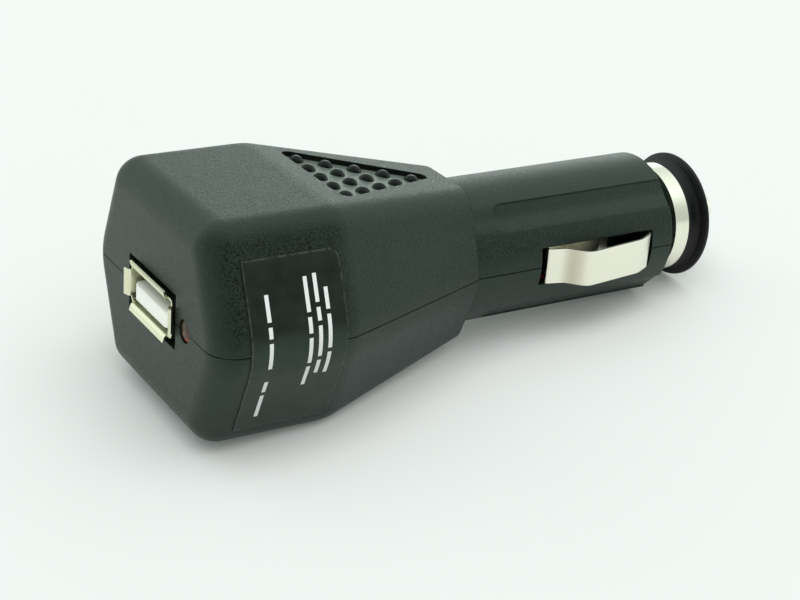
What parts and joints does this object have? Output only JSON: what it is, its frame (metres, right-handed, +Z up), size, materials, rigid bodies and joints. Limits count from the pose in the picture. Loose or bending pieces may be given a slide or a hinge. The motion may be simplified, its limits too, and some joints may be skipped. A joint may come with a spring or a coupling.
{
  "type": "car usb charger plug",
  "caption": "Vehicle accessory-socket plug with a USB-A charging socket in its moulded head, sprung side contacts and a sprung, fused centre pin.",
  "frame": {"origin": "on the barrel's axis, at the shoulder where the head ends and the barrel starts", "axes": "+X along the barrel towards the centre pin, +Z up and square to the parting plane"},
  "size_m": [0.0952, 0.0404, 0.031],
  "materials": {
    "housing": "matte, spark-eroded grain",
    "label_film": "satin film",
    "nickel": "satin nickel plate",
    "nose_plastic": "smooth",
    "socket_white": "moulded",
    "contact_gold": "plated",
    "lamp_red": "tinted lens",
    "spring_steel": "drawn wire",
    "fuse_glass": "clear",
    "board_green": "solder mask",
    "package_black": "moulded",
    "can_sleeve": "shrink sleeve",
    "ferrite": "sintered",
    "tinned": "tinned",
    "lead_insulation": "insulated"
  },
  "bodies": {
    "root": {"upper_shell": "housing", "lower_shell": "housing", "rating_label": "label_film", "usb_shell": "nickel", "usb_insulator": "socket_white", "usb_contacts": "contact_gold", "indicator_led": "lamp_red", "led_leads": "tinned", "nose_ring": "nickel", "nose_flange": "nose_plastic", "pin_spring": "spring_steel", "fuse_contact": "tinned", "circuit_board": "board_green", "controller_chip": "package_black", "chip_leads": "tinned", "power_inductor": "ferrite", "input_capacitor": "can_sleeve", "output_capacitor": "can_sleeve", "rectifier_diode": "package_black", "chip_resistors": "package_black", "supply_lead": "lead_insulation", "ground_leads": "lead_insulation"},
    "pin": {"centre_pin": "nickel", "fuse_tube": "fuse_glass", "fuse_caps": "tinned", "fuse_wire": "tinned"},
    "near_contact": {"side_contact_near": "nickel"},
    "far_contact": {"side_contact_far": "nickel"}
  },
  "joints": [
    {"name": "pin_slide", "type": "slide", "parent": "root", "child": "pin", "axis": [-1, 0, 0], "range_m": [0, 0.0025], "stiffness_N_per_m": 900, "springref_m": -0.0015, "deforming": ["pin_spring"]},
    {"name": "near_contact_press", "type": "slide", "parent": "root", "child": "near_contact", "axis": [0, 1, 0], "range_m": [0, 0.0027], "stiffness_N_per_m": 1500, "springref_m": -0.0006},
    {"name": "far_contact_press", "type": "slide", "parent": "root", "child": "far_contact", "axis": [0, -1, 0], "range_m": [0, 0.0027], "stiffness_N_per_m": 1500, "springref_m": -0.0006}
  ]
}
